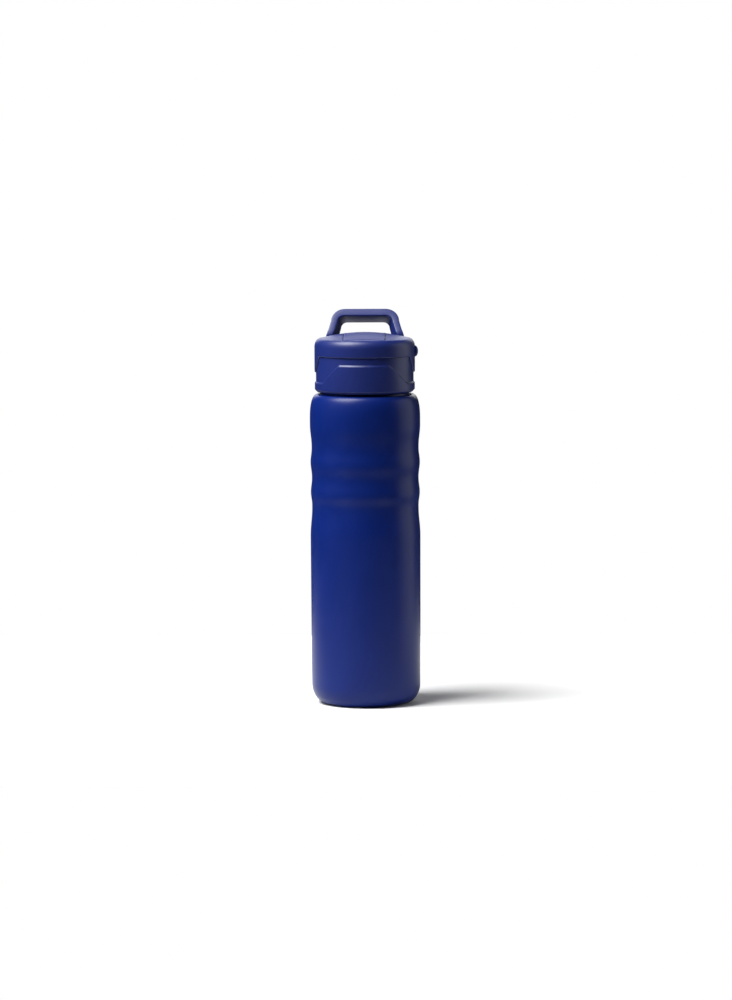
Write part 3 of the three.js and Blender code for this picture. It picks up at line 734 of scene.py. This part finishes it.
def dress_cad_nodes():
    """The inner pieces keep their CAD shapes and get full materials."""
    looks = {
        "vacuum_plug": STEEL, "getter_pellet": STEEL, "cap_core": NAVY, "cap_gasket": SILICONE,
        "cap_foam": FOAM, "vent_valve": SILICONE, "cover_pin": STEEL, "cover_spring": STEEL,
        "latch_slider": NAVY, "button_spring": STEEL, "handle_pin_right": STEEL, "handle_pin_left": STEEL,
    }
    for node, material in looks.items():
        made = frame["nodes"][node]
        made.data.materials.clear()
        made.data.materials.append(material)


bottle()
liner()
base()
collar()
crown()
cover_panel()
cover_barrels()
cover_ribs()
spout()
seal()
button()
carry_loop()
dress_cad_nodes()

# ---- Studio, in metres and degrees ----
FLOOR = {"half": 0.34, "tone": (0.76, 0.76, 0.76, 1)}
AIM = Vector((0, 0, 0.15))
AMBIENT = {"tone": (0.9, 0.93, 1, 1), "strength": 0.03}
CAMERA = {
    "lens": 162, "sensor": 36, "orbit": 1.2, "place": Vector((0.0004, -2.9754, 0.43502)),
    "pitch": 0.10037, "roll": -0.005,  # in radians
}


def floor():
    """A pale table top; the white world carries on behind it."""
    mesh = bmesh.new()
    bmesh.ops.create_grid(mesh, x_segments=1, y_segments=1, size=FLOOR["half"] / MM)
    made = link("floor", mesh)
    material, _, principled = shader("floor_white", 0.9)
    principled.inputs["Base Color"].default_value = FLOOR["tone"]
    principled.inputs["Specular IOR Level"].default_value = 0
    made.data.materials.append(material)


def softbox(name, azimuth, elevation, distance, size, radiance, mirrored=True):
    """A rectangular light aimed at the bottle; the azimuth is off the front, positive to the right."""
    az, el = math.radians(azimuth), math.radians(elevation)
    outward = Vector((math.cos(el) * math.sin(az), -math.cos(el) * math.cos(az), math.sin(el)))
    data = bpy.data.lights.new(name, "AREA")
    data.shape = "RECTANGLE"
    data.size, data.size_y = size
    data.energy = radiance * math.pi * size[0] * size[1]
    made = bpy.data.objects.new(name, data)
    made.visible_glossy = mirrored
    made.location = AIM + outward * distance
    made.rotation_euler = (-outward).to_track_quat("-Z", "Y").to_euler()
    bpy.context.scene.collection.objects.link(made)


def lights():
    softbox("overhead_left", -62, 59, 1.5, (0.95, 0.95), 21)
    softbox("side_left", -80, 20, 1.6, (0.9, 1.2), 2.6, mirrored=False)
    softbox("fill_right", 100, 12, 1.5, (1.2, 1.4), 1.4)
    softbox("backdrop", 180, 22, 1.8, (1.7, 0.9), 2.2)


def world():
    """White where the camera looks past the floor, nearly dark as a light."""
    made = bpy.data.worlds.new("studio")
    made.use_nodes = True
    tree = made.node_tree
    seen = tree.nodes["Background"]
    seen.inputs["Color"].default_value = (1, 1, 1, 1)
    seen.inputs["Strength"].default_value = 1.0
    ambient = tree.nodes.new("ShaderNodeBackground")
    ambient.inputs["Color"].default_value = AMBIENT["tone"]
    ambient.inputs["Strength"].default_value = AMBIENT["strength"]
    mix = tree.nodes.new("ShaderNodeMixShader")
    rays = tree.nodes.new("ShaderNodeLightPath")
    tree.links.new(rays.outputs["Is Camera Ray"], mix.inputs["Fac"])
    tree.links.new(ambient.outputs["Background"], mix.inputs[1])
    tree.links.new(seen.outputs["Background"], mix.inputs[2])
    tree.links.new(mix.outputs["Shader"], tree.nodes["World Output"].inputs["Surface"])
    bpy.context.scene.world = made


def camera():
    """Nearly level, a little above the lid, and turned slightly off the bottle's front."""
    data = bpy.data.cameras.new("camera")
    data.sensor_width = CAMERA["sensor"]
    data.lens = CAMERA["lens"]
    made = bpy.data.objects.new("camera", data)
    orbit = Matrix.Rotation(math.radians(CAMERA["orbit"]), 3, "Z")
    tilt = Matrix.Rotation(math.pi / 2 - CAMERA["pitch"], 3, "X") @ Matrix.Rotation(CAMERA["roll"], 3, "Z")
    made.location = orbit @ CAMERA["place"]
    made.rotation_euler = (orbit @ tilt).to_euler()
    bpy.context.scene.collection.objects.link(made)
    bpy.context.scene.camera = made


floor()
lights()
world()
camera()
bpy.context.scene.view_settings.view_transform = "Standard"
